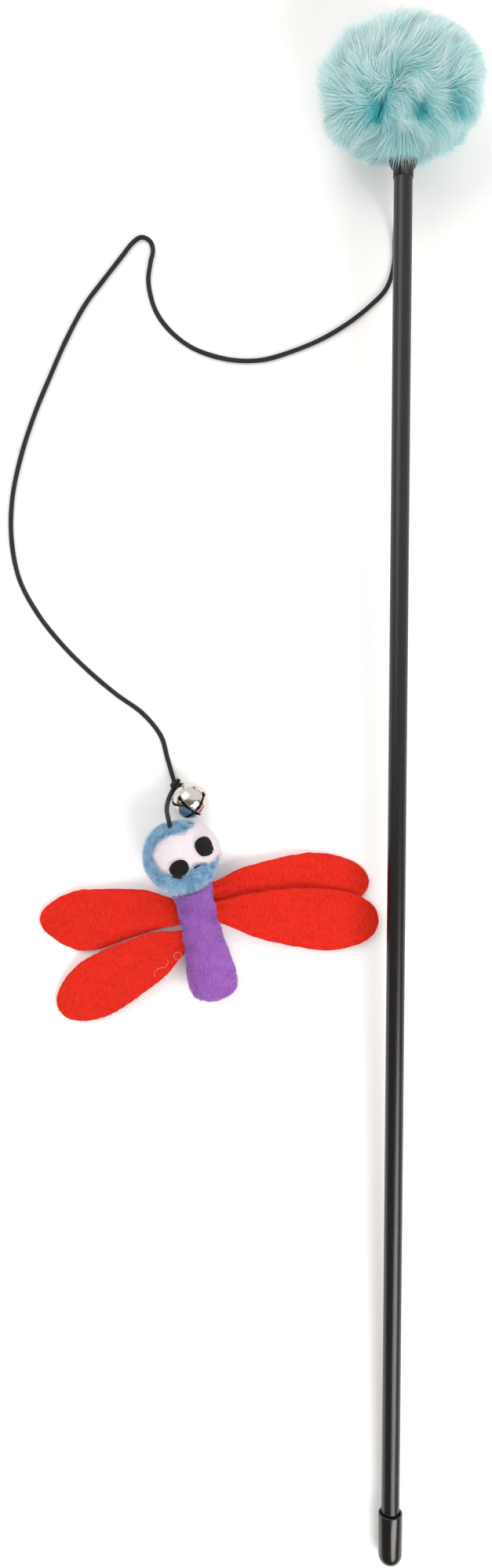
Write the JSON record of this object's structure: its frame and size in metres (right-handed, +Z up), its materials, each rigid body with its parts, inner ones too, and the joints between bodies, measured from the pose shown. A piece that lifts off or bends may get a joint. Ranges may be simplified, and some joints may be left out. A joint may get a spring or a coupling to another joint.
{
  "type": "cat teaser wand",
  "caption": "Hollow rod with end cap and fur pom-pom, and an elastic cord with a jingle bell and a plush dragonfly lure with hinged felt wings.",
  "frame": {"origin": "On the floor under the middle of the wand's and the lure's bounding box, measured without the free cord", "axes": "+Y runs along the rod from the end cap to the pom-pom, +Z is up from the floor that the wand lies on, +X is to the rod's side away from the lure"},
  "size_m": [0.1497, 0.4852, 0.0447],
  "materials": {
    "rod_plastic": "satin black extruded plastic",
    "cap_vinyl": "glossy black dipped vinyl",
    "cord_black": "matte black braided elastic",
    "aqua_fur": "long aqua faux fur",
    "aqua_thread": "polyester drawstring",
    "white_fibre": "polyester fibre fill",
    "bell_nickel": "bright nickel plate on thin steel",
    "pellet_steel": "plain steel ball",
    "blue_plush": "short blue plush",
    "white_felt": "white felt with a faint lilac cast",
    "black_felt": "black felt and thread",
    "purple_pile": "purple pile in lengthwise knitted rows",
    "red_felt": "bright red felt"
  },
  "bodies": {
    "wand": {"tube": "rod_plastic", "end_cap": "cap_vinyl", "top_plug": "cap_vinyl", "plug_knot": "cord_black", "pompom_cover": "aqua_fur", "pompom_stuffing": "white_fibre", "pompom_thread": "aqua_thread", "cord": "cord_black"},
    "lure_head": {"bell_knot": "cord_black", "lure_cord": "cord_black", "head_cover": "blue_plush", "head_stuffing": "white_fibre", "head_knot": "cord_black", "eye_patch": "white_felt", "pupil_left": "black_felt", "pupil_right": "black_felt", "smile": "black_felt"},
    "lure_body": {"body_cover": "purple_pile", "body_stuffing": "white_fibre"},
    "left_front_wing": {"wing_left_front": "red_felt"},
    "left_back_wing": {"wing_left_back": "red_felt"},
    "right_front_wing": {"wing_right_front": "red_felt"},
    "right_back_wing": {"wing_right_back": "red_felt"},
    "bell": {"bell_crown": "bell_nickel", "bell_petals": "bell_nickel", "bell_eye": "bell_nickel"},
    "pellet": {"bell_pellet": "pellet_steel"}
  },
  "joints": [
    {"name": "lure_swing", "type": "hinge", "parent": "wand", "child": "lure_head", "pos_m": [-0.0256, 0.00746, 0.00168], "axis": [0, 0, 1], "range_deg": [-35, 35]},
    {"name": "neck_turn", "type": "hinge", "parent": "lure_head", "child": "lure_body", "pos_m": [-0.0234, -0.0152, 0.0111], "axis": [0, 0, 1], "range_deg": [-15, 15]},
    {"name": "left_front_wing_lift", "type": "hinge", "parent": "lure_body", "child": "left_front_wing", "pos_m": [-0.02548, -0.03323, 0.00765], "axis": [-0.225, 0.9744, 0], "range_deg": [0, 55]},
    {"name": "left_back_wing_lift", "type": "hinge", "parent": "lure_body", "child": "left_back_wing", "pos_m": [-0.02548, -0.03323, 0.00765], "axis": [-0.225, 0.9744, 0], "range_deg": [0, 55]},
    {"name": "right_front_wing_lift", "type": "hinge", "parent": "lure_body", "child": "right_front_wing", "pos_m": [-0.01129, -0.02995, 0.00765], "axis": [0.225, -0.9744, 0], "range_deg": [0, 55]},
    {"name": "right_back_wing_lift", "type": "hinge", "parent": "lure_body", "child": "right_back_wing", "pos_m": [-0.01129, -0.02995, 0.00765], "axis": [0.225, -0.9744, 0], "range_deg": [0, 55]},
    {"name": "bell_swing", "type": "hinge", "parent": "lure_head", "child": "bell", "pos_m": [-0.0221, 0.00681, 0.00165], "axis": [0.0003, 0.7407, 0.6719], "range_deg": [-3, 55]},
    {"name": "pellet_rattle", "type": "slide", "parent": "bell", "child": "pellet", "axis": [0, 0, 1], "range_m": [0, 0.0064]}
  ],
  "couplings": [
    {"joint": "left_back_wing_lift", "follows": "left_front_wing_lift", "ratio": 1},
    {"joint": "right_back_wing_lift", "follows": "right_front_wing_lift", "ratio": 1}
  ]
}
